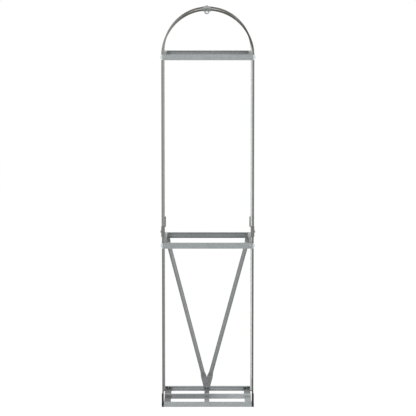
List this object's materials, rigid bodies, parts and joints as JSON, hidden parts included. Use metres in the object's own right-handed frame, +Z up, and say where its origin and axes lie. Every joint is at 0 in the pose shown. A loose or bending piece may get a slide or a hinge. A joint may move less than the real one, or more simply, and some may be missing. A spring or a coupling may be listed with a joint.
{
  "type": "firewood rack",
  "caption": "Tall, narrow free-standing firewood rack of galvanised steel channel with an arched top, cross rails, a low slatted floor, a V brace at the back and black plastic feet.",
  "frame": {"origin": "on the floor under the middle of the rack's bounding box", "axes": "+Z is up, +Y runs from the open front to the braced back, and +X is to the right as the front is looked at"},
  "size_m": [0.4722, 0.4566, 2.0018],
  "materials": {
    "galvanised_steel": "matt galvanised sheet with a slight olive cast",
    "galvanised_rail": "satin galvanised sheet",
    "galvanised_tube": "satin galvanised tube",
    "zinc_plated_steel": "bright zinc plate, bluish",
    "black_plastic": "matt black moulded plastic"
  },
  "bodies": {
    "root": {"hoop_front": "galvanised_steel", "hoop_rear": "galvanised_steel", "lower_post_front_left": "galvanised_steel", "lower_post_front_right": "galvanised_steel", "lower_post_rear_left": "galvanised_steel", "lower_post_rear_right": "galvanised_steel", "joint_sleeve_front_left": "galvanised_steel", "joint_sleeve_front_right": "galvanised_steel", "joint_sleeve_rear_left": "galvanised_steel", "joint_sleeve_rear_right": "galvanised_steel", "cross_rail_mid_front": "galvanised_rail", "cross_rail_mid_rear": "galvanised_rail", "cross_rail_top_front": "galvanised_rail", "cross_rail_top_rear": "galvanised_rail", "side_rail_mid_left": "galvanised_rail", "side_rail_mid_right": "galvanised_rail", "side_rail_top_left": "galvanised_rail", "side_rail_top_right": "galvanised_rail", "floor_rail_front": "galvanised_rail", "floor_rail_middle": "galvanised_rail", "floor_rail_rear": "galvanised_rail", "bearer_left": "galvanised_rail", "bearer_middle": "galvanised_rail", "bearer_right": "galvanised_rail", "ridge_rail": "galvanised_rail", "brace_left": "galvanised_tube", "brace_right": "galvanised_tube", "shoe_front_left": "black_plastic", "shoe_front_right": "black_plastic", "shoe_rear_left": "black_plastic", "shoe_rear_right": "black_plastic", "joint_bolt_front_left": "zinc_plated_steel", "joint_bolt_front_right": "zinc_plated_steel", "joint_bolt_rear_left": "zinc_plated_steel", "joint_bolt_rear_right": "zinc_plated_steel", "rail_bolt_mid_front_left": "zinc_plated_steel", "rail_bolt_mid_front_right": "zinc_plated_steel", "rail_bolt_mid_rear_left": "zinc_plated_steel", "rail_bolt_mid_rear_right": "zinc_plated_steel", "rail_bolt_top_front_left": "zinc_plated_steel", "rail_bolt_top_front_right": "zinc_plated_steel", "rail_bolt_top_rear_left": "zinc_plated_steel", "rail_bolt_top_rear_right": "zinc_plated_steel", "side_rail_bolt_mid_front_left": "zinc_plated_steel", "side_rail_bolt_mid_front_right": "zinc_plated_steel", "side_rail_bolt_top_front_left": "zinc_plated_steel", "side_rail_bolt_top_front_right": "zinc_plated_steel", "side_rail_bolt_top_rear_left": "zinc_plated_steel", "side_rail_bolt_top_rear_right": "zinc_plated_steel", "brace_bolt_rear_left": "zinc_plated_steel", "brace_bolt_rear_right": "zinc_plated_steel", "brace_bolt_foot": "zinc_plated_steel", "shoe_bolt_front_left": "zinc_plated_steel", "shoe_bolt_front_right": "zinc_plated_steel", "shoe_bolt_rear_left": "zinc_plated_steel", "shoe_bolt_rear_right": "zinc_plated_steel", "crown_bolt": "zinc_plated_steel", "eye_bolt": "zinc_plated_steel"}
  },
  "joints": []
}
